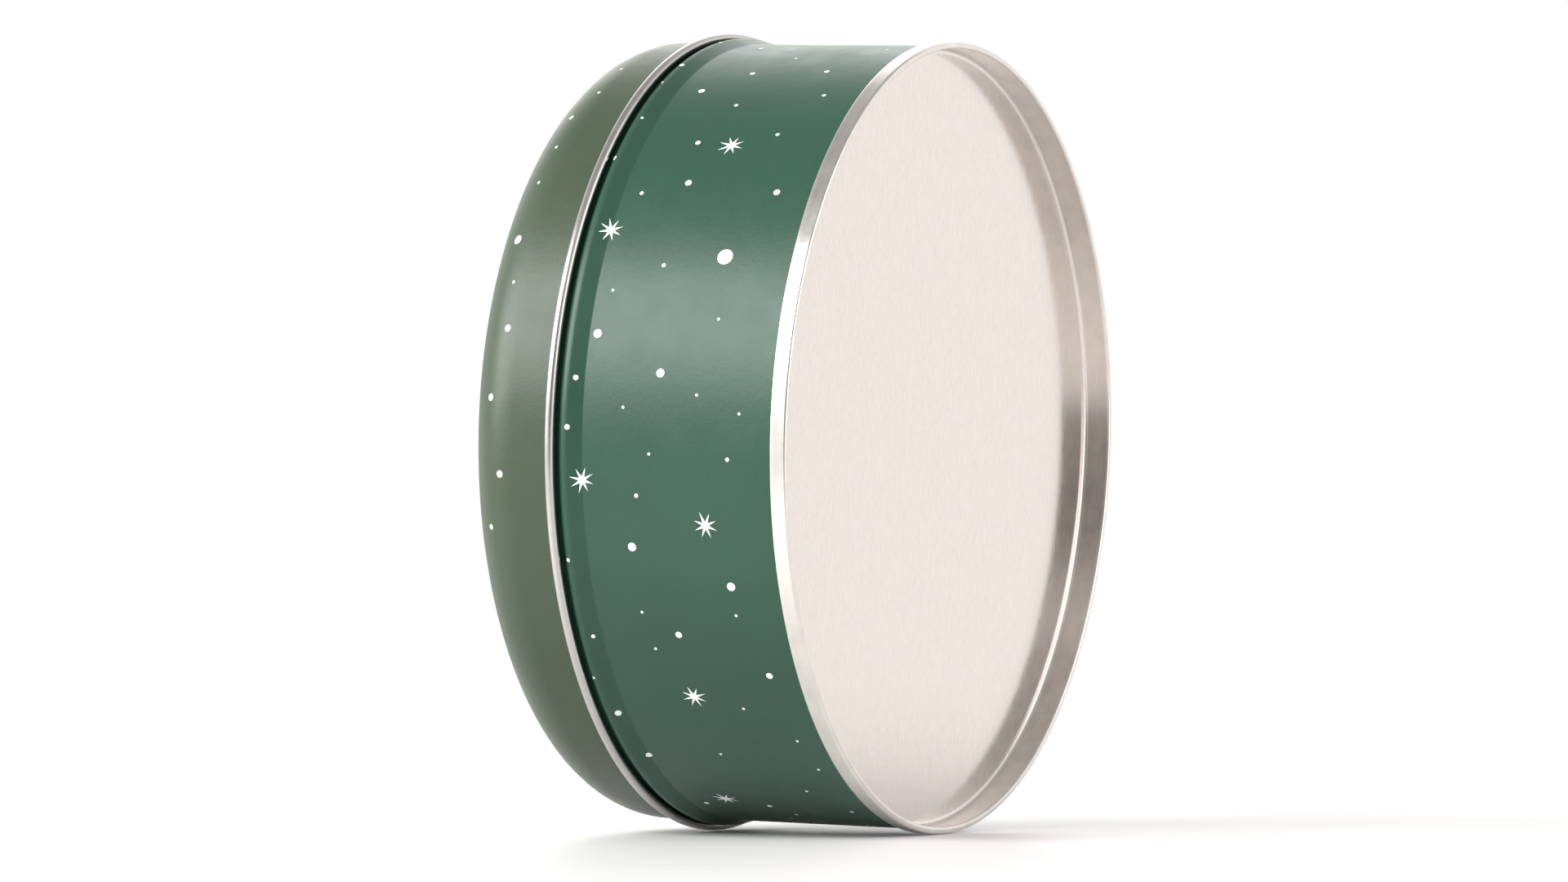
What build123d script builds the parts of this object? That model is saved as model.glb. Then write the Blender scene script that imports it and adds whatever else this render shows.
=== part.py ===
"""Round slip-lid candle tin: a printed tinplate body with a seamed-in base, and a drawn lid.

Frame: millimetres, +Z along the tin's axis from the base to the lid, origin at the centre of the
standing rim. Every sheet part is one outline of constant thickness turned about the axis.
Outlines are drawn in a plane whose x is the radius and whose y is the height.
"""
from build123d import *
from math import degrees, radians, sin, tan
import os

os.makedirs("parts", exist_ok=True)

# ---- driving dimensions ----
SHEET = 0.23              # tinplate thickness
WALL_R = 67.5             # outer radius of the body wall
LAP_GAP = 0.02            # play between neighbouring layers of the double seam

SEAM_H = 3.0              # height of the double seam
PANEL_Z = 4.9             # underside of the recessed base panel
PANEL_CORNER_R = 0.8      # corner between base panel and chuck wall
RIM_CORNER_R = 0.45       # both corners of the standing rim
COVER_HOOK_END = 1.05     # lower end of the base's tucked-in hook
BODY_HOOK_END = 2.45      # upper end of the wall's turned-up hook
BODY_TURN_Z = 0.70        # centre of the wall's turn into its hook

CREASE_Z = 38.0           # where the wall starts to flare out into the bead
CREASE_R = 0.6
BEAD_CORNER = (68.74, 41.42)   # where the mid-lines of the bead's two slopes would meet, before rounding
BEAD_ROUND_R = 1.5
NECK_R = 67.24            # outer radius of the neck that the lid slides over
NECK_START_Z = 42.44
NECK_ROUND_R = 0.5
NECK_CURL_R = 0.8         # inward curl along the mouth
NECK_CURL_Z = 52.75       # height of that curl's centre
NECK_CURL_SWEEP = 295

LID_R = 67.75             # outer radius of the lid's skirt
SHOULDER_R = 10.25        # large outer radius between skirt and top
SHOULDER_Z = 51.1         # where the skirt runs into that radius
DOME_EDGE_DEG = 2.0       # slope of the shallow dome where it meets the shoulder
CURL_R = 0.85             # outward curl along the lid's edge
CURL_CENTRE = (68.65, 43.48)
CURL_SWEEP = 300
CURL_LEAD_Z = (44.75, 43.95)     # the skirt steps out to the curl between these heights
CURL_LEAD_R = 1.5

COMPOUND_R = (67.46, 67.81)    # sealing compound in the bottom of the seam
COMPOUND_Z = (0.235, 0.325)

SIDE_SEAM_WIDTH = 3.6     # folded side seam: two more layers of sheet, pressed flat inside the wall
SIDE_SEAM_Z = (5.6, 51.2)
SIDE_SEAM_ANGLE = 75      # direction of the side seam, anticlockwise from +X

HALF = SHEET / 2
REACH = 100               # larger than the tin, for trimming at the axis

# ---- mid-lines of the double seam's layers, worked outwards from the body wall ----
layer = SHEET + LAP_GAP
wall_mid = WALL_R - HALF
chuck_mid = wall_mid - layer
cover_hook_mid = wall_mid + layer
body_hook_mid = wall_mid + 2 * layer
seaming_wall_mid = wall_mid + 3 * layer


def turned_sheet(path):
    """One sheet part: metal of constant thickness around its mid-line, trimmed at the axis."""
    band = make_face(offset(path, amount=HALF))
    half_plane = Rectangle(REACH, 2 * REACH, align=(Align.MIN, Align.CENTER))
    return revolve(Plane.XZ * (band & half_plane), Axis.Z)


def make_base_end():
    """Recessed base with the chuck wall, standing rim, seaming wall and tucked-in hook."""
    turn_r = (seaming_wall_mid - cover_hook_mid) / 2
    turn_z = SEAM_H - HALF - turn_r
    panel_mid_z = PANEL_Z + HALF
    outline = FilletPolyline(
        (0, panel_mid_z), (chuck_mid, panel_mid_z), (chuck_mid, HALF), (seaming_wall_mid, HALF),
        (seaming_wall_mid, turn_z),
        radius=[PANEL_CORNER_R + HALF, RIM_CORNER_R - HALF, RIM_CORNER_R - HALF],
    )
    turn = CenterArc((seaming_wall_mid - turn_r, turn_z), turn_r, 0, 180)
    hook = Line((cover_hook_mid, turn_z), (cover_hook_mid, COVER_HOOK_END))
    return turned_sheet(outline + turn + hook)


def wall_line(low_z, high_z, inset=0):
    """Mid-line of the wall from one height to another, over the crease, the bead and into the neck."""
    neck_mid = NECK_R - HALF
    wall = [(wall_mid, low_z), (wall_mid, CREASE_Z), BEAD_CORNER]
    corners = wall + [(neck_mid, NECK_START_Z), (neck_mid, high_z)]
    return FilletPolyline(
        [(radius - inset, height) for radius, height in corners],
        radius=[CREASE_R, BEAD_ROUND_R - HALF, NECK_ROUND_R],
    )


def make_side_seam():
    """The folded side seam's inner layers: a strip that follows the inside of the wall."""
    section = make_face(offset(wall_line(*SIDE_SEAM_Z, inset=1.5 * SHEET), amount=SHEET + LAP_GAP))
    arc = degrees(SIDE_SEAM_WIDTH / WALL_R)
    strip = revolve(Plane.XZ * section, Axis.Z, revolution_arc=arc)
    return Rot(0, 0, SIDE_SEAM_ANGLE - arc / 2) * strip


def make_body_wall():
    """Wall with its seam hook, the bead that the lid stops above, the neck and the mouth's curl."""
    turn_r = (body_hook_mid - wall_mid) / 2
    hook = Line((body_hook_mid, BODY_HOOK_END), (body_hook_mid, BODY_TURN_Z))
    turn = CenterArc((wall_mid + turn_r, BODY_TURN_Z), turn_r, 0, -180)
    wall = wall_line(BODY_TURN_Z, NECK_CURL_Z)
    curl = CenterArc((NECK_R - NECK_CURL_R, NECK_CURL_Z), NECK_CURL_R - HALF, 0, NECK_CURL_SWEEP)
    return turned_sheet(hook + turn + wall + curl) + make_side_seam()


def make_lid():
    """Drawn lid: shallow dome, large shoulder, plain skirt and an outward curl."""
    shoulder_centre_r = LID_R - SHOULDER_R
    shoulder_mid_r = SHOULDER_R - HALF
    dome_r = shoulder_centre_r / sin(radians(DOME_EDGE_DEG)) + shoulder_mid_r
    dome_centre_z = SHOULDER_Z - shoulder_centre_r / tan(radians(DOME_EDGE_DEG))
    dome = CenterArc((0, dome_centre_z), dome_r, 90, -DOME_EDGE_DEG)
    shoulder_sweep = 90 - DOME_EDGE_DEG
    shoulder = CenterArc((shoulder_centre_r, SHOULDER_Z), shoulder_mid_r, shoulder_sweep, -shoulder_sweep)
    curl_mid_r = CURL_R - HALF
    curl_start_r = CURL_CENTRE[0] - curl_mid_r
    skirt_mid = LID_R - HALF
    skirt = FilletPolyline(
        (skirt_mid, SHOULDER_Z), (skirt_mid, CURL_LEAD_Z[0]), (curl_start_r, CURL_LEAD_Z[1]),
        (curl_start_r, CURL_CENTRE[1]),
        radius=CURL_LEAD_R,
    )
    curl = CenterArc(CURL_CENTRE, curl_mid_r, 180, CURL_SWEEP)
    return turned_sheet(dome + shoulder + skirt + curl)


def make_compound():
    """Ring of flexible sealing compound under the wall's turned-up hook."""
    width = COMPOUND_R[1] - COMPOUND_R[0]
    height = COMPOUND_Z[1] - COMPOUND_Z[0]
    section = Pos(COMPOUND_R[0], COMPOUND_Z[0]) * Rectangle(width, height, align=(Align.MIN, Align.MIN))
    return revolve(Plane.XZ * section, Axis.Z)


parts = {
    "lid": make_lid(),
    "body_wall": make_body_wall(),
    "base_end": make_base_end(),
    "base_seam_compound": make_compound(),
}
for name, part in parts.items():
    print(name, part.is_valid, len(part.solids()), round(part.volume, 1), part.bounding_box())
    export_step(part, f"parts/{name}.step")
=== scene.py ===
"""Looks of the round slip-lid candle tin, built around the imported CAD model.

Shapes are worked out in millimetres in a plane whose x is the radius and whose y is the height, then
turned about the tin's axis. The tin lies on its edge in front of the camera, so the stage and the
lights are placed with side(), which speaks of right, up and near as the camera sees them.
"""
import bpy
import random
from math import ceil, cos, hypot, pi, radians, sin, tan
from mathutils import Matrix, Vector


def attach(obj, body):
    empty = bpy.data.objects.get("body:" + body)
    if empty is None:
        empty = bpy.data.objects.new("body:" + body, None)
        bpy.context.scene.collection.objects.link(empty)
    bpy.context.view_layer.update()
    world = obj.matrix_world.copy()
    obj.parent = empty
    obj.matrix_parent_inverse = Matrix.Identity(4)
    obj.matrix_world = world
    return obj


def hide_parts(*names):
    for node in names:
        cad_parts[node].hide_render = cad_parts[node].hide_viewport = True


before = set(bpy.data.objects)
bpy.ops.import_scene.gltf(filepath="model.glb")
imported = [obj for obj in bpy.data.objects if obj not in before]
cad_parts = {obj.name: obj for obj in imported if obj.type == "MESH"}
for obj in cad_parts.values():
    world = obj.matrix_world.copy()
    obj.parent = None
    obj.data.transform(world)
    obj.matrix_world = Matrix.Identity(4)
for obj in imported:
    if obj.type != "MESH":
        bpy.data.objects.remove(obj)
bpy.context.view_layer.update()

MM = 0.001
SEGMENTS = 240            # steps round the tin

# ---- sheet shapes, as in the CAD model. Z is a height above the table, R a radius, ROUND a corner's ----
SHEET = 0.23
HALF = SHEET / 2
LAYER = SHEET + 0.02      # one sheet and its play, in the double seam

WALL_R = 67.5
WALL_MID = WALL_R - HALF
CREASE_Z = 38.0           # where the wall starts to flare into the bead
CREASE_ROUND = 0.6
BEAD_CORNER = (68.74, 41.42)
BEAD_ROUND = 1.5
NECK_R = 67.24
NECK_FOOT_Z = 42.44
NECK_FOOT_ROUND = 0.5
MOUTH_CURL_Z = 52.75      # the middle of the inward curl round the mouth
MOUTH_CURL_R = 0.8
PRINT_TOP_Z = 51.5        # the wall's print stops below the inward curl

SEAM_H = 3.0              # the double seam round the base
BODY_HOOK_Z = (0.70, 2.45)
COVER_HOOK_END_Z = 1.05
RIM_ROUND = 0.45
PANEL_Z = 4.9
PANEL_ROUND = 0.8

SIDE_SEAM_ANGLE = radians(75)
SIDE_SEAM_Z = (5.6, 51.2)
SEAM_LINE_REACH = 0.35    # half the width of the line that the side seam leaves outside
SEAM_LINE_DEPTH = 0.12

LID_R = 67.75
SHOULDER_Z = 51.1
SHOULDER_R = 10.25
DOME_SLOPE = 2.0          # degrees, at the edge of the domed top
LID_TOP_Z = 58.0          # the domed top lies above this height
CURL_LEAD_Z = (44.75, 43.95)     # between these heights the skirt moves out to the curl
CURL_LEAD_ROUND = 1.5
CURL_CENTRE = (68.65, 43.48)     # the curl along the lid's edge
CURL_R = 0.85

# ---- directions as the camera sees them: the tin's axis points left, its base is turned to the camera ----
NEAR_ANGLE = radians(292.5)
NEAR = Vector((cos(NEAR_ANGLE), sin(NEAR_ANGLE), 0))
UP = Vector((-sin(NEAR_ANGLE), cos(NEAR_ANGLE), 0))
RIGHT = Vector((0, 0, -1))


def side(right, up, near):
    """A point or direction given as the camera sees it, turned into the shared frame."""
    return RIGHT * right + UP * up + NEAR * near


# ---- outlines ----
def arc(centre, radius, start, sweep, step=6):
    """Points along an arc, from a start angle through a sweep, in degrees."""
    count = max(3, ceil(abs(sweep) / step))
    angles = [radians(start + sweep * i / count) for i in range(count + 1)]
    return [Vector((centre[0] + radius * cos(a), centre[1] + radius * sin(a))) for a in angles]


def rounded(corners, radii):
    """A run of straight lines whose corners are rounded to the given radii."""
    corners = [Vector(c) for c in corners]
    points = [corners[0]]
    for before, corner, after, radius in zip(corners, corners[1:], corners[2:], radii):
        a = (before - corner).normalized()
        b = (after - corner).normalized()
        half_angle = a.angle(b) / 2
        centre = corner + (a + b).normalized() * radius / sin(half_angle)
        spoke = corner + a * radius / tan(half_angle) - centre
        turn = (pi - 2 * half_angle) * (1 if a.cross(b) < 0 else -1)
        count = max(3, ceil(abs(turn) / radians(6)))
        points += [centre + Matrix.Rotation(turn * i / count, 2) @ spoke for i in range(count + 1)]
    return points + [corners[-1]]


def supported(points, spacing=5.0, margin=0.3):
    """The same line with points close to the ends of each long run and at most spacing apart on it."""
    out = [points[0]]
    for a, b in zip(points, points[1:]):
        length = (b - a).length
        if length > 4 * margin:
            count = max(1, round(length / spacing))
            shares = [margin / length] + [i / count for i in range(1, count)] + [1 - margin / length]
            out += [a.lerp(b, share) for share in shares]
        if length > 1e-6:
            out.append(b)
    return out


def normals(points):
    """The left-hand normal at each point of an open line."""
    out = []
    for i in range(len(points)):
        ahead = points[min(i + 1, len(points) - 1)] - points[i]
        behind = points[i] - points[max(i - 1, 0)]
        along = (ahead.normalized() + behind.normalized()).normalized()
        out.append(Vector((-along.y, along.x)))
    return out


def face_of(points, distance):
    """The line moved sideways, to the left for a positive distance."""
    return [p + n * distance for p, n in zip(points, normals(points))]


def sheet_outline(mid):
    """Closed outline of a sheet around its mid-line, as (point, region) pairs.

    The regions are the left face, the right face and the cut edges, which are round.
    """
    def end_cap(point, normal, region):
        if point.x < 1e-6:
            return []
        quarter_turns = [Matrix.Rotation(-radians(45 * i), 2) for i in (1, 2, 3)]
        return [(point + turn @ normal * HALF, region) for turn in quarter_turns]

    side_normals = normals(mid)
    outline = [(p, "left") for p in face_of(mid, HALF)]
    outline += end_cap(mid[-1], side_normals[-1], "cut edge")
    outline += [(p, "right") for p in reversed(face_of(mid, -HALF))]
    outline += end_cap(mid[0], -side_normals[0], "cut edge")
    return outline


def wall_line(low_z, high_z):
    """Mid-line of the body wall over the crease and the bead into the neck."""
    neck_mid = NECK_R - HALF
    corners = [(WALL_MID, low_z), (WALL_MID, CREASE_Z), BEAD_CORNER]
    corners += [(neck_mid, NECK_FOOT_Z), (neck_mid, high_z)]
    return rounded(corners, [CREASE_ROUND, BEAD_ROUND - HALF, NECK_FOOT_ROUND])


def body_line():
    """Mid-line of the body wall, from the end of its hook inside the seam to the curl round the mouth."""
    turn_z, hook_end_z = BODY_HOOK_Z
    hook_end = Vector((WALL_MID + 2 * LAYER, hook_end_z))
    turn = arc((WALL_MID + LAYER, turn_z), LAYER, 0, -180, 15)
    curl = arc((NECK_R - MOUTH_CURL_R, MOUTH_CURL_Z), MOUTH_CURL_R - HALF, 0, 295, 10)
    return supported([hook_end] + turn + wall_line(turn_z, MOUTH_CURL_Z)[1:-1] + curl)


def base_line():
    """Mid-line of the base, from the middle of its panel over the standing rim to its hook in the seam."""
    chuck_mid = WALL_MID - LAYER
    seaming_mid = WALL_MID + 3 * LAYER
    cover_hook_mid = WALL_MID + LAYER
    turn_z = SEAM_H - HALF - LAYER
    corners = [(0, PANEL_Z + HALF), (chuck_mid, PANEL_Z + HALF), (chuck_mid, HALF), (seaming_mid, HALF)]
    radii = [PANEL_ROUND + HALF, RIM_ROUND - HALF, RIM_ROUND - HALF]
    shell = rounded(corners + [(seaming_mid, turn_z)], radii)
    turn = arc((seaming_mid - LAYER, turn_z), LAYER, 0, 180, 15)
    return supported(shell[:-1] + turn + [Vector((cover_hook_mid, COVER_HOOK_END_Z))])


def lid_line():
    """Mid-line of the lid, from the middle of its domed top to the end of its curl."""
    centre_r = LID_R - SHOULDER_R
    mid_r = SHOULDER_R - HALF
    dome_r = centre_r / sin(radians(DOME_SLOPE)) + mid_r
    dome_z = SHOULDER_Z - centre_r / tan(radians(DOME_SLOPE))
    dome = arc((0, dome_z), dome_r, 90, -DOME_SLOPE, 0.1)
    shoulder = arc((centre_r, SHOULDER_Z), mid_r, 90 - DOME_SLOPE, DOME_SLOPE - 90, 3)
    curl_mid_r = CURL_R - HALF
    curl_start_r = CURL_CENTRE[0] - curl_mid_r
    skirt_mid = LID_R - HALF
    corners = [(skirt_mid, SHOULDER_Z), (skirt_mid, CURL_LEAD_Z[0])]
    corners += [(curl_start_r, CURL_LEAD_Z[1]), (curl_start_r, CURL_CENTRE[1])]
    skirt = rounded(corners, [CURL_LEAD_ROUND, CURL_LEAD_ROUND])
    curl = arc(CURL_CENTRE, curl_mid_r, 180, 300, 10)
    return supported(dome[:-1] + shoulder[:-1] + skirt[:-1] + curl)


# ---- meshes ----
def new_object(name, vertices, faces, materials, indices=None):
    """A smooth mesh in the scene, from vertices in millimetres. indices are the faces' materials."""
    mesh = bpy.data.meshes.new(name)
    mesh.from_pydata([v * MM for v in vertices], [], faces)
    for material in materials:
        mesh.materials.append(material)
    if indices:
        mesh.polygons.foreach_set("material_index", indices)
    mesh.polygons.foreach_set("use_smooth", [True] * len(faces))
    mesh.validate()
    obj = bpy.data.objects.new(name, mesh)
    bpy.context.scene.collection.objects.link(obj)
    return obj


def turned(name, outline, materials, finish_of, relief=None, extra_angles=()):
    """Turns a closed outline about the axis. finish_of(point, region) says which material a strip has.

    relief(point, region, angle) gives the moved point.
    """
    angles = sorted([2 * pi * i / SEGMENTS for i in range(SEGMENTS)] + list(extra_angles))
    vertices, rings = [], []
    for point, region in outline:
        around = angles[:1] if point.x < 1e-6 else angles
        rings.append([len(vertices) + i for i in range(len(around))])
        for angle in around:
            place = relief(point, region, angle) if relief else point
            vertices.append(Vector((place.x * cos(angle), place.x * sin(angle), place.y)))
    faces, indices = [], []
    for k, (point, region) in enumerate(outline):
        here, after = rings[k], rings[(k + 1) % len(rings)]
        if len(here) == len(after) == 1:
            continue
        for i in range(len(angles)):
            j = (i + 1) % len(angles)
            if len(here) == 1:
                face = (here[0], after[j], after[i])
            elif len(after) == 1:
                face = (here[i], here[j], after[0])
            else:
                face = (here[i], here[j], after[j], after[i])
            faces.append(face)
            indices.append(finish_of(point, region))
    return new_object(name, vertices, faces, materials, indices)


# ---- materials ----
class Nodes:
    """A node tree, with short calls for adding and joining nodes."""

    def __init__(self, name, owner=None):
        self.owner = owner or bpy.data.materials.new(name)
        self.owner.use_nodes = True
        self.tree = self.owner.node_tree
        self.tree.nodes.clear()

    def add(self, kind, settings=None, **inputs):
        node = self.tree.nodes.new("ShaderNode" + kind)
        for key, value in (settings or {}).items():
            setattr(node, key, value)
        for key, value in inputs.items():
            self.set(node, key.replace("_", " "), value)
        return node

    def set(self, node, key, value):
        socket = node.inputs[key]
        if isinstance(value, bpy.types.NodeSocket):
            self.tree.links.new(value, socket)
        else:
            socket.default_value = value

    def math(self, operation, a, b=0.0):
        node = self.add("Math", {"operation": operation})
        self.set(node, 0, a)
        self.set(node, 1, b)
        return node.outputs[0]

    def dot(self, vector, axis):
        node = self.add("VectorMath", {"operation": "DOT_PRODUCT"})
        self.set(node, 0, vector)
        self.set(node, 1, axis)
        return node.outputs["Value"]

    def noise(self, vector, scale, detail=3.0, rough=0.55):
        node = self.add("TexNoise", Vector=vector, Scale=scale, Detail=detail, Roughness=rough)
        return node.outputs["Fac"]

    def spread(self, value, low, high, to_low, to_high):
        """Maps a value from one range to another, clamped."""
        node = self.add("MapRange", Value=value)
        for key, number in zip(("From Min", "From Max", "To Min", "To Max"), (low, high, to_low, to_high)):
            self.set(node, key, number)
        return node.outputs[0]

    def mix(self, factor, a, b):
        node = self.add("Mix")
        for key, value in zip((0, 2, 3), (factor, a, b)):
            self.set(node, key, value)
        return node.outputs[0]

    def blend(self, factor, a, b):
        node = self.add("Mix", {"data_type": "RGBA"})
        for key, value in zip((0, 6, 7), (factor, a, b)):
            self.set(node, key, value)
        return node.outputs[2]

    def either(self, factor, a, b):
        node = self.add("MixShader")
        for key, value in enumerate((factor, a, b)):
            self.set(node, key, value)
        return node.outputs[0]

    def bump(self, height, strength, distance):
        return self.add("Bump", Height=height, Strength=strength, Distance=distance).outputs[0]

    def position(self, kind="Object"):
        return self.add("TexCoord").outputs[kind]

    def finish(self, shader, kind="OutputMaterial"):
        self.tree.links.new(shader, self.add(kind).inputs["Surface"])
        return self.owner


def printed_tinplate(name, deep, pale, matt_from=None):
    """Satin lithographed ink: faint cloudiness, ink grain and a rolled-sheet ripple under clear varnish.

    matt_from is the height above which the varnish turns matt, where handling has dulled it.
    """
    n = Nodes(name)
    place = n.position()
    cloud = n.spread(n.noise(place, 45), 0.3, 0.7, 0.0, 1.0)
    grain = n.spread(n.noise(place, 3200, 2.0), 0.35, 0.65, 0.0, 1.0)
    tone = n.math("ADD", n.math("MULTIPLY", cloud, 0.6), n.math("MULTIPLY", grain, 0.4))
    ink = n.blend(tone, deep, pale)
    varnish = n.spread(n.noise(place, 160), 0.3, 0.7, 0.29, 0.37)
    rough = n.math("ADD", varnish, n.math("MULTIPLY", grain, 0.03))
    if matt_from:
        height = n.add("SeparateXYZ", Vector=place).outputs[2]
        matt = n.spread(height, matt_from * MM, (matt_from + 4) * MM, 0.0, 0.24)
        rough = n.math("ADD", rough, matt)
    ripple = n.math("ADD", n.noise(place, 700, 2.0), n.math("MULTIPLY", grain, 0.25))
    shader = n.add("BsdfPrincipled", Base_Color=ink, Roughness=rough, Normal=n.bump(ripple, 0.10, 0.0002))
    shader.inputs["IOR"].default_value = 1.45
    return n.finish(shader.outputs[0])


def sheet_tinplate(name, deep, pale):
    """Flat bare tinplate: rolling streaks along one direction, faint mottle and a few hairline scratches."""
    n = Nodes(name)
    place = n.add("Mapping", Vector=n.position(), Rotation=(0, 0, -NEAR_ANGLE)).outputs[0]
    streak = n.noise(n.add("Mapping", Vector=place, Scale=(3000, 900, 3000)).outputs[0], 1.0, 4.0, 0.6)
    mottle = n.noise(n.add("Mapping", Vector=place, Scale=(950, 420, 950)).outputs[0], 1.0, 4.0, 0.6)
    tone = n.math("ADD", n.math("MULTIPLY", streak, 0.55), n.math("MULTIPLY", mottle, 0.45))
    colour = n.blend(n.spread(tone, 0.38, 0.62, 0.0, 1.0), deep, pale)
    rough = n.spread(tone, 0.35, 0.65, 0.13, 0.19)
    hair = n.noise(n.add("Mapping", Vector=place, Scale=(90, 900, 90)).outputs[0], 1.0, 2.0, 0.5)
    scratch = n.spread(hair, 0.72, 0.76, 0.0, 1.0)
    height = n.math("SUBTRACT", streak, n.math("MULTIPLY", scratch, 0.6))
    shader = n.add("BsdfPrincipled", Base_Color=colour, Roughness=rough, Normal=n.bump(height, 0.015, 0.0001))
    shader.inputs["Metallic"].default_value = 1.0
    return n.finish(shader.outputs[0])


def rolled_tinplate(name, deep, pale):
    """Bare tinplate polished by the seaming rolls: fine lines that run round the tin."""
    n = Nodes(name)
    place = n.position()
    x, y, z = n.add("SeparateXYZ", Vector=place).outputs
    radius = n.math("SQRT", n.math("ADD", n.math("POWER", x, 2.0), n.math("POWER", y, 2.0)))
    fine = 9000.0
    ring = n.add("CombineXYZ", X=n.math("MULTIPLY", radius, fine), Y=n.math("MULTIPLY", z, fine))
    lines = n.noise(ring.outputs[0], 1.0, 2.0, 0.5)
    wear = n.noise(place, 220, 4.0, 0.6)
    tone = n.math("ADD", n.math("MULTIPLY", lines, 0.5), n.math("MULTIPLY", wear, 0.5))
    colour = n.blend(n.spread(tone, 0.35, 0.65, 0.0, 1.0), deep, pale)
    rough = n.spread(tone, 0.35, 0.65, 0.17, 0.27)
    shader = n.add("BsdfPrincipled", Base_Color=colour, Roughness=rough, Normal=n.bump(lines, 0.08, 0.00005))
    shader.inputs["Metallic"].default_value = 1.0
    return n.finish(shader.outputs[0])


def snow_ink():
    """Opaque white ink with a trace of the sheet's grain."""
    n = Nodes("snow_ink")
    grain = n.noise(n.position(), 2600, 2.0)
    colour = n.blend(n.spread(grain, 0.35, 0.65, 0.0, 1.0), (0.84, 0.87, 0.84, 1), (0.93, 0.94, 0.92, 1))
    rough = n.spread(grain, 0.3, 0.7, 0.38, 0.50)
    shader = n.add("BsdfPrincipled", Base_Color=colour, Roughness=rough, Normal=n.bump(grain, 0.05, 0.0001))
    return n.finish(shader.outputs[0])


def sealing_compound():
    """Dull, slightly mottled rubber."""
    n = Nodes("sealing_compound")
    mottle = n.noise(n.position(), 900, 3.0)
    colour = n.blend(n.spread(mottle, 0.3, 0.7, 0.0, 1.0), (0.40, 0.42, 0.37, 1), (0.58, 0.59, 0.53, 1))
    rough = n.spread(mottle, 0.3, 0.7, 0.65, 0.85)
    shader = n.add("BsdfPrincipled", Base_Color=colour, Roughness=rough, Normal=n.bump(mottle, 0.2, 0.0001))
    return n.finish(shader.outputs[0])


body_print = printed_tinplate("body_print", (0.019, 0.065, 0.040, 1), (0.024, 0.080, 0.049, 1))
lid_print = printed_tinplate("lid_print", (0.045, 0.068, 0.040, 1), (0.056, 0.082, 0.049, 1), matt_from=57.5)
bare_sheet = sheet_tinplate("bare_sheet", (0.78, 0.715, 0.685, 1), (0.845, 0.775, 0.745, 1))
inner_sheet = sheet_tinplate("inner_sheet", (0.775, 0.755, 0.735, 1), (0.835, 0.815, 0.79, 1))
bare_rolled = rolled_tinplate("bare_rolled", (0.72, 0.68, 0.645, 1), (0.86, 0.815, 0.775, 1))
# The lid's curl takes a darker copy of the rolled tinplate, so its reflections come out darker all along the
# curl.
curled_edge = rolled_tinplate("curled_edge", (0.55, 0.53, 0.51, 1), (0.64, 0.61, 0.59, 1))
snow = snow_ink()


# ---- the tin's sheet parts ----
# Outside is the left of the lid's mid-line, and the right of the wall's and the base's.
def lid_finish(point, region):
    """Print outside, bare metal inside and polished metal on the curl."""
    if region != "left":
        return 1 if point.x < LID_R - 0.5 else 2
    return 0


def body_finish(point, region):
    """Print outside up to the mouth's curl, and bare metal inside."""
    if region == "right":
        return 0 if point.y < PRINT_TOP_Z else 2
    return 1


def base_finish(point, region):
    """Bare sheet, polished where the seaming rolls pressed it."""
    if point.x > WALL_R - 2 * LAYER:
        return 1
    return 2 if region == "left" else 0


lid = turned("lid_shell", sheet_outline(lid_line()), [lid_print, inner_sheet, curled_edge], lid_finish)
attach(lid, "lid")
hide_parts("lid")


def seam_groove(point, region, angle):
    """The fine line that the folded side seam leaves down the outside of the wall."""
    across = abs(angle - SIDE_SEAM_ANGLE) * WALL_R
    if region != "right" or across > SEAM_LINE_REACH or not SEAM_H < point.y < SIDE_SEAM_Z[1]:
        return point
    return point - Vector((SEAM_LINE_DEPTH * (1 + cos(pi * across / SEAM_LINE_REACH)) / 2, 0))


def side_seam():
    """The two folded layers of the side seam, pressed flat inside the wall."""
    inner = face_of(supported(wall_line(*SIDE_SEAM_Z)), HALF)
    inward = normals(inner)
    depth = 2 * SHEET
    half_width = 1.8
    edge = 0.1                    # the bevel along both edges
    sunk = 0.05                   # how far the strip reaches into the wall, so that no gap shows
    section = [(-half_width, -sunk), (-half_width, depth - edge), (edge - half_width, depth)]
    section += [(-across, raised) for across, raised in reversed(section)]
    vertices = []
    for point, normal in zip(inner, inward):
        for across, raised in section:
            place = point + normal * raised
            angle = SIDE_SEAM_ANGLE + across / WALL_R
            vertices.append(Vector((place.x * cos(angle), place.x * sin(angle), place.y)))
    width = len(section)
    faces = [tuple(range(width)), tuple(reversed(range(len(vertices) - width, len(vertices))))]
    for k in range(0, len(vertices) - width, width):
        for i in range(width):
            j = (i + 1) % width
            faces.append((k + i, k + width + i, k + width + j, k + j))
    strip = new_object("side_seam", vertices, faces, [inner_sheet])
    strip.data.polygons.foreach_set("use_smooth", [False] * len(faces))
    return strip


# The wall has extra steps round the tin where the seam's line runs.
seam_steps = [SIDE_SEAM_ANGLE + SEAM_LINE_REACH / WALL_R * i / 4 for i in range(-4, 5) if i]
body_outline = sheet_outline(body_line())
body_materials = [body_print, inner_sheet, bare_rolled]
body = turned("body_shell", body_outline, body_materials, body_finish, seam_groove, seam_steps)
seam = side_seam()
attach(seam, "tin")
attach(body, "tin")
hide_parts("body_wall")

base = turned("base_shell", sheet_outline(base_line()), [bare_sheet, bare_rolled, inner_sheet], base_finish)
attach(base, "tin")
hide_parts("base_end")

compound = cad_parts["base_seam_compound"]
compound.data.materials.clear()
compound.data.materials.append(sealing_compound())


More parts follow.
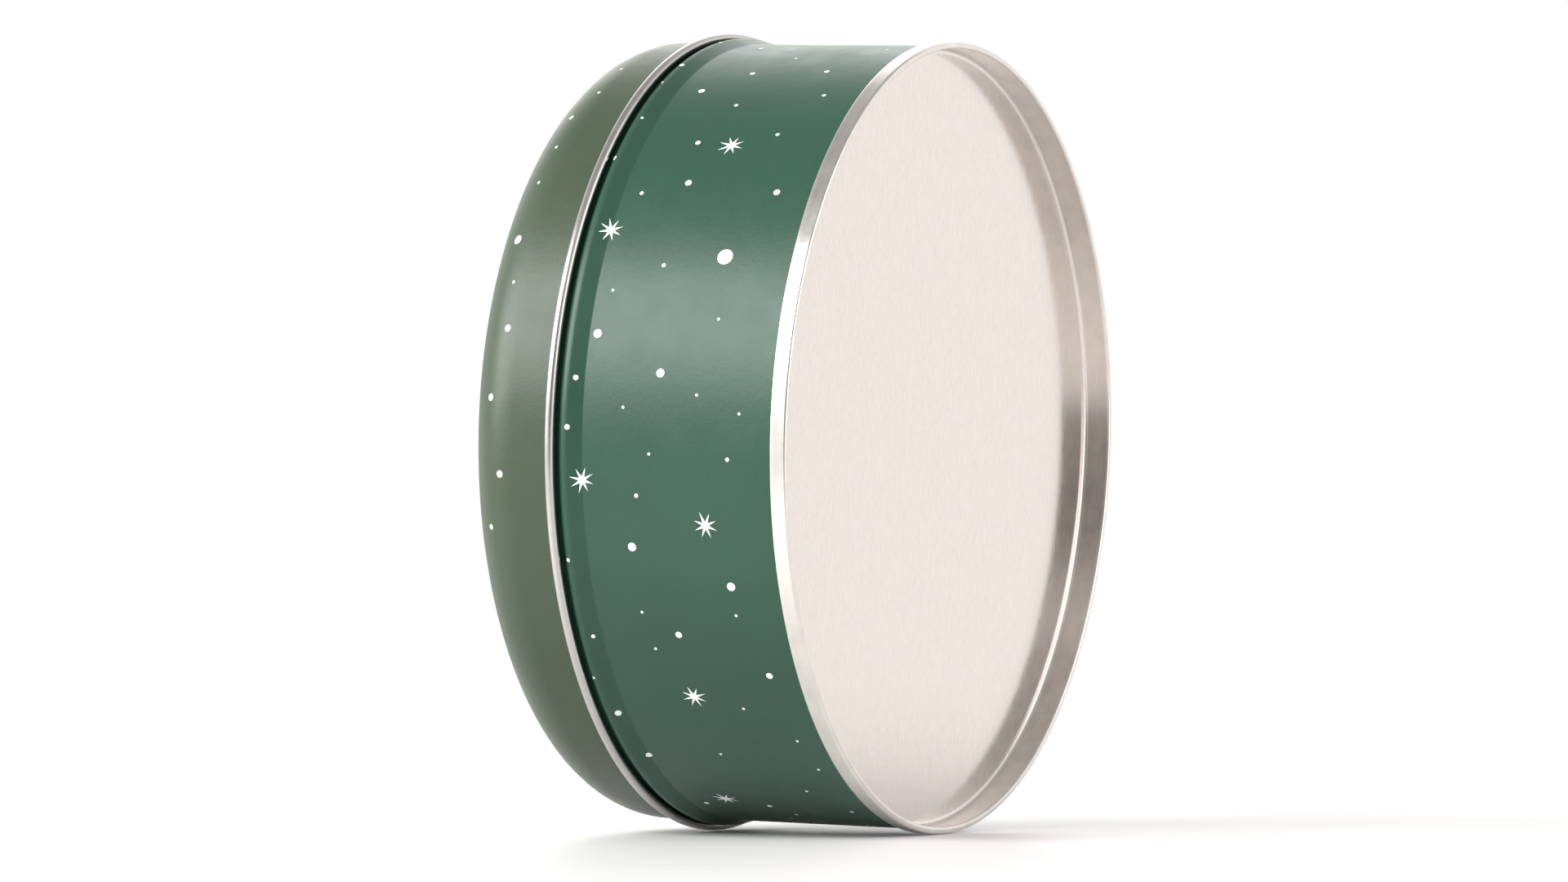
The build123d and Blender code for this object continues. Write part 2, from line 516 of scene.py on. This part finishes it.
# ---- printed snow: thin pads of ink that follow the sheet ----
class Skin:
    """The printed face of a sheet, followed by distance along its outline."""

    def __init__(self, points, start):
        self.points = points
        self.normals = normals(points)
        self.distance = [start]
        for a, b in zip(points, points[1:]):
            self.distance.append(self.distance[-1] + (b - a).length)

    def at(self, distance):
        """The point and the normal at a distance along the outline."""
        k = 0
        while k < len(self.points) - 2 and self.distance[k + 1] < distance:
            k += 1
        span = self.distance[k + 1] - self.distance[k]
        share = (distance - self.distance[k]) / span
        point = self.points[k].lerp(self.points[k + 1], share)
        normal = self.normals[k].lerp(self.normals[k + 1], share)
        return point, normal


def star(radius, turn, rng):
    """Eight thin rays, each slightly different in length."""
    outline = []
    for i in range(8):
        ray = radius * rng.uniform(0.9, 1.06)
        tip = turn + i * pi / 4
        outline.append(Vector((ray * cos(tip), ray * sin(tip))))
        valley = tip + pi / 8
        outline.append(Vector((0.27 * radius * cos(valley), 0.27 * radius * sin(valley))))
    return outline


def dot(radius):
    """A round spot."""
    count = 20
    turns = [2 * pi * i / count for i in range(count)]
    return [Vector((radius * cos(turn), radius * sin(turn))) for turn in turns]


class Ink:
    """Collects pads of ink on one skin. A pad stands LIFT proud of the sheet and is sunk SINK into it."""

    LIFT = 0.025
    SINK = 0.05
    RINGS = 4

    def __init__(self, skin, outward):
        self.skin = skin
        self.outward = outward
        self.vertices = []
        self.faces = []

    def vertex(self, angle, distance, offset, lift):
        """Adds a point at an offset from the pad's centre, and gives its number."""
        point, normal = self.skin.at(distance + offset.y)
        point = point + normal * self.outward * lift
        turn = angle + offset.x / max(point.x, 1.0)
        self.vertices.append(Vector((point.x * cos(turn), point.x * sin(turn), point.y)))
        return len(self.vertices) - 1

    def pad(self, angle, distance, outline):
        """Adds one closed pad with the given outline."""
        count = len(outline)
        centre = self.vertex(angle, distance, Vector((0, 0)), self.LIFT)
        rings = []
        for k in range(1, self.RINGS + 1):
            scaled = [p * k / self.RINGS for p in outline]
            rings.append([self.vertex(angle, distance, p, self.LIFT) for p in scaled])
        foot = [self.vertex(angle, distance, p, -self.SINK) for p in outline]
        foot_centre = self.vertex(angle, distance, Vector((0, 0)), -self.SINK)
        for i in range(count):
            j = (i + 1) % count
            self.faces.append((centre, rings[0][i], rings[0][j]))
            for inner, outer in zip(rings, rings[1:] + [foot]):
                self.faces.append((inner[i], outer[i], outer[j], inner[j]))
            self.faces.append((foot[i], foot_centre, foot[j]))

    def build(self, name, body):
        """Makes one piece of all the pads, riding on a body."""
        obj = new_object(name, self.vertices, self.faces, [snow])
        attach(obj, body)
        return obj


# Stars and dots on the wall, as (degrees above the tin's near side, millimetres up the wall).
# Dots are listed by radius. They fill half of the wall, and the design repeats on the other half.
WALL_STARS = [(45.5, 21.5), (29.5, 38), (-7.5, 38), (-13.5, 15.5), (-41.5, 24), (-68.5, 30), (94, 14)]
WALL_DOTS = {
    1.42: [(25.5, 15.5)],
    0.76: [(13.5, 36.5), (8, 24), (-17, 29.5), (-22.5, 12)],
    0.60: [(38, 26.5), (36.5, 9.5), (-37, 8.5), (-45, 39.5), (-30.5, 23.5), (59, 33.5), (-55, 38)],
    0.47: [(46, 28), (65, 27), (66, 13.5), (7, 39.5), (0, 40.5), (66, 41), (42, 42), (-71, 23), (-71, 35),
           (79, 33)],
    0.36: [(-9.5, 28), (36, 34.5), (24, 26.5), (48, 14), (-4, 11), (-31, 39.5), (-72, 8), (-19, 41.5),
           (58, 10), (55, 25), (79, 41)],
    0.26: [(79, 9), (72, 22.5), (60, 41.5), (50.5, 40.5), (20, 35), (16, 14.5), (5, 17), (2.5, 9), (3, 30.5),
           (-3.5, 25.5), (-27, 29.5), (-33, 28.5), (-27, 12), (-38, 41.5), (-43.5, 15.5), (-54, 24), (-50, 8),
           (-57, 7), (-64, 12.5)],
}
# Dots on the lid's shoulder, as (degrees above the tin's near side, millimetres up the lid from LID_DOTS_Z).
LID_DOTS = {
    0.85: [(28, 10.5)],
    0.64: [(14, 8.5), (4, 11), (-7, 8.5)],
    0.48: [(-15, 11.5), (52, 10)],
    0.30: [(66, 7.5), (58, 7.5), (45, 9.5), (38, 10), (21, 9)],
}
LID_DOTS_Z = 45.0
STAR_R = 2.35


def apart(place, taken, gap):
    """Whether a place is more than gap away from every motif that is already there."""
    return all(hypot(place[0] - x, place[1] - y) > gap + reach for x, y, reach in taken)


def off_the_seam(angle, size):
    """Whether a motif keeps clear of the side seam, where the sheet is left unprinted."""
    clearance = 0.8
    return abs((angle - SIDE_SEAM_ANGLE + pi) % (2 * pi) - pi) * WALL_R > size + clearance


def print_wall():
    """The wall's listed motifs, twice round, and a few dots scattered where the two halves meet."""
    skin = Skin(face_of(supported(wall_line(0, 50)), -HALF), 0.0)
    ink = Ink(skin, -1)
    scattered_each_half = 9
    rng = random.Random(4)
    motifs = [(a, h, STAR_R) for a, h in WALL_STARS]
    motifs += [(a, h, size) for size, places in WALL_DOTS.items() for a, h in places]
    for half in (0, 180):
        taken = [(radians(a) * WALL_R, h, size) for a, h, size in motifs]
        scattered = []
        while len(scattered) < scattered_each_half:
            degrees_up = rng.uniform(83, 105)
            height = rng.uniform(5.0, 41.0)
            size = rng.uniform(0.25, 0.6)
            place = (radians(degrees_up) * WALL_R, height)
            if apart(place, taken, 3.0):
                taken.append((*place, size))
                scattered.append((degrees_up, height, size))
        for degrees_up, height, size in motifs + scattered:
            angle = NEAR_ANGLE + radians(degrees_up + half)
            shape = star(size, radians(rng.uniform(16, 29)), rng) if size == STAR_R else dot(size)
            if off_the_seam(angle, size):
                ink.pad(angle, height, shape)
    return ink.build("body_snow", "tin")


def print_lid():
    """The lid's listed dots, twice round its shoulder, and a scatter over the rest of its top."""
    outer = list(reversed(face_of(lid_line(), HALF)))
    skirt = next(i for i, p in enumerate(outer) if p.y > 45.3 and abs(p.x - LID_R) < 0.01)
    skin = Skin(outer[skirt:], outer[skirt].y - LID_DOTS_Z)
    top = [(p, d) for p, d in zip(skin.points, skin.distance) if p.y > LID_TOP_Z]
    top_r = 61
    tries = 400
    ink = Ink(skin, 1)
    rng = random.Random(9)
    taken = []
    for half in (0, 180):
        for size, places in LID_DOTS.items():
            for degrees_up, distance in places:
                angle = NEAR_ANGLE + radians(degrees_up + half)
                ink.pad(angle, distance, dot(size))
                radius = skin.at(distance)[0].x
                taken.append((radius * cos(angle), radius * sin(angle), size))
    wanted = [STAR_R] * 14 + [0.7] * 14 + [0.55] * 18 + [0.4] * 30 + [0.26] * 44
    for size in wanted:
        gap = 11 if size == STAR_R else 2.4 + size
        for _ in range(tries):
            radius = top_r * rng.uniform(0.012, 1.0) ** 0.5
            angle = rng.uniform(0, 2 * pi)
            place = (radius * cos(angle), radius * sin(angle))
            if apart(place, taken, gap):
                break
        else:
            continue
        taken.append((*place, size))
        distance = next(d - (radius - p.x) for p, d in top if p.x <= radius)
        shape = star(size, rng.uniform(0, pi / 4), rng) if size == STAR_R else dot(size)
        ink.pad(angle, distance, shape)
    return ink.build("lid_snow", "lid")


body_snow = print_wall()
lid_snow = print_lid()


# ---- stage ----
def one_sided(name, colour, reach):
    """Pale floor that is seen only from its front and fades out into the backdrop."""
    n = Nodes(name)
    place = n.position()
    distance = n.add("VectorMath", {"operation": "LENGTH"})
    n.set(distance, 0, place)
    fade = n.spread(distance.outputs["Value"], reach * 0.35, reach, 0.0, 1.0)
    behind = n.add("NewGeometry").outputs["Backfacing"]
    hidden = n.math("MAXIMUM", fade, behind)
    grain = n.noise(place, 60, 3.0)
    tone = n.blend(n.spread(grain, 0.3, 0.7, 0.0, 1.0), colour, tuple(c * 0.985 for c in colour[:3]) + (1,))
    surface = n.add("BsdfPrincipled", Base_Color=tone, Roughness=0.45)
    surface.inputs["Emission Color"].default_value = (1, 1, 1, 1)
    surface.inputs["Emission Strength"].default_value = 0.03
    return n.finish(n.either(hidden, surface.outputs[0], n.add("BsdfTransparent").outputs[0]))


def floor(name, centre, normal, reach, grey):
    """A round floor centred under the tin, in a slightly warm grey."""
    x_axis = normal.orthogonal().normalized()
    y_axis = normal.cross(x_axis)
    count = 96
    turns = [2 * pi * i / count for i in range(count)]
    rim = [(x_axis * cos(turn) + y_axis * sin(turn)) * reach for turn in turns]
    faces = [(0, i + 1, (i + 1) % count + 1) for i in range(count)]
    mesh = bpy.data.meshes.new(name)
    mesh.from_pydata([Vector((0, 0, 0))] + rim, [], faces)
    mesh.materials.append(one_sided(name, (grey, grey * 0.994, grey * 0.984, 1), reach))
    obj = bpy.data.objects.new(name, mesh)
    obj.location = centre
    bpy.context.scene.collection.objects.link(obj)
    return obj


# The tin lies on its lid's curl and its standing rim, so the floor leans a little against the axis.
CURL_REST = (CURL_CENTRE[0] + CURL_R, CURL_CENTRE[1])
RIM_REST = (68.25, 0.45)
lean = (CURL_REST[0] - RIM_REST[0]) / (CURL_REST[1] - RIM_REST[1])
floor_normal = (UP + Vector((0, 0, lean))).normalized()
floor_centre = (UP * -(RIM_REST[0] + 0.05) + Vector((0, 0, RIM_REST[1]))) * MM
floor("side_floor", floor_centre, floor_normal, reach=0.45, grey=0.76)

# The upright tin's floor shows in the side views. It doesn't light the tin or show in its metal.
shelf = floor("upright_floor", Vector((0, 0, -0.0001)), Vector((0, 0, 1)), reach=1.2, grey=0.70)
shelf.visible_diffuse = False
shelf.visible_glossy = False
shelf.visible_transmission = False
shelf.visible_shadow = False


# ---- light ----
def softbox(name, direction, distance, tall, wide, radiance):
    """A soft light that faces the tin. Its width lies along the tin's axis.

    radiance 1 is the white of the background.
    """
    light = bpy.data.lights.new(name, "AREA")
    light.shape = "RECTANGLE"
    light.size = tall
    light.size_y = wide
    light.energy = radiance * pi * tall * wide
    obj = bpy.data.objects.new(name, light)
    obj.location = Vector((0, 0, 0.03)) + direction.normalized() * distance
    obj.rotation_euler = direction.to_track_quat("Z", "Y").to_euler()
    obj.visible_camera = False
    bpy.context.scene.collection.objects.link(obj)


softbox("key", side(-0.58, 0.425, 0.70), distance=1.1, tall=0.63, wide=1.4, radiance=7.1)


def studio_world():
    """White walls all round, a grey ceiling and a dark patch where the camera stands. The camera sees white.

    Two places are brighter: one high behind the tin and a window to its right.
    """
    world = bpy.data.worlds.new("studio")
    bpy.context.scene.world = world
    n = Nodes("studio", world)
    direction = n.position("Generated")
    towards_camera = n.dot(direction, side(0.41, 0.20, 0.89))
    ceiling = n.spread(n.dot(direction, UP), 0.30, 0.90, 1.05, 0.45)
    backlight = n.spread(n.dot(direction, side(-0.38, 0.35, -0.85)), 0.84, 0.98, 0.0, 1.2)
    window = n.spread(n.dot(direction, side(0.91, 0.40, -0.05)), 0.84, 0.96, 0.0, 1.0)
    walls = n.math("ADD", ceiling, n.math("ADD", backlight, window))
    darkened = n.spread(towards_camera, 0.80, 0.96, 0.0, 1.0)
    level = n.mix(darkened, walls, 0.28)
    fill = n.add("Background", Color=(1.0, 0.985, 0.97, 1), Strength=level)
    white = n.add("Background", Color=(1, 1, 1, 1), Strength=1.0)
    seen = n.add("LightPath").outputs["Is Camera Ray"]
    n.finish(n.either(seen, fill.outputs[0], white.outputs[0]), "OutputWorld")


studio_world()
bpy.context.scene.view_settings.view_transform = "Standard"


# ---- camera: long lens, base turned 25 degrees towards it ----
def add_camera():
    """The camera that took the photograph, as fitted to the outlines of the rim, seam, curl and lid."""
    tilt = radians(25.42)           # how far the camera is round from square-on towards the base
    roll = radians(-1.61)
    forward = side(-sin(tilt), 0, -cos(tilt))
    level = side(0, 1, 0)
    up = (level - forward * level.dot(forward)).normalized()
    up = Matrix.Rotation(roll, 3, forward) @ up
    right = forward.cross(up)
    camera = bpy.data.cameras.new("camera")
    camera.lens = 196.9
    camera.sensor_width = 36
    camera.clip_end = 20
    obj = bpy.data.objects.new("camera", camera)
    rotation = Matrix((right, up, -forward)).transposed().to_4x4()
    rim_seen = Vector((29.54, 0.50, -1477.1)) * MM     # the standing rim's centre in the camera's own axes
    obj.matrix_world = rotation
    obj.location = -(rotation.to_3x3() @ rim_seen)
    bpy.context.scene.collection.objects.link(obj)
    bpy.context.scene.camera = obj


add_camera()
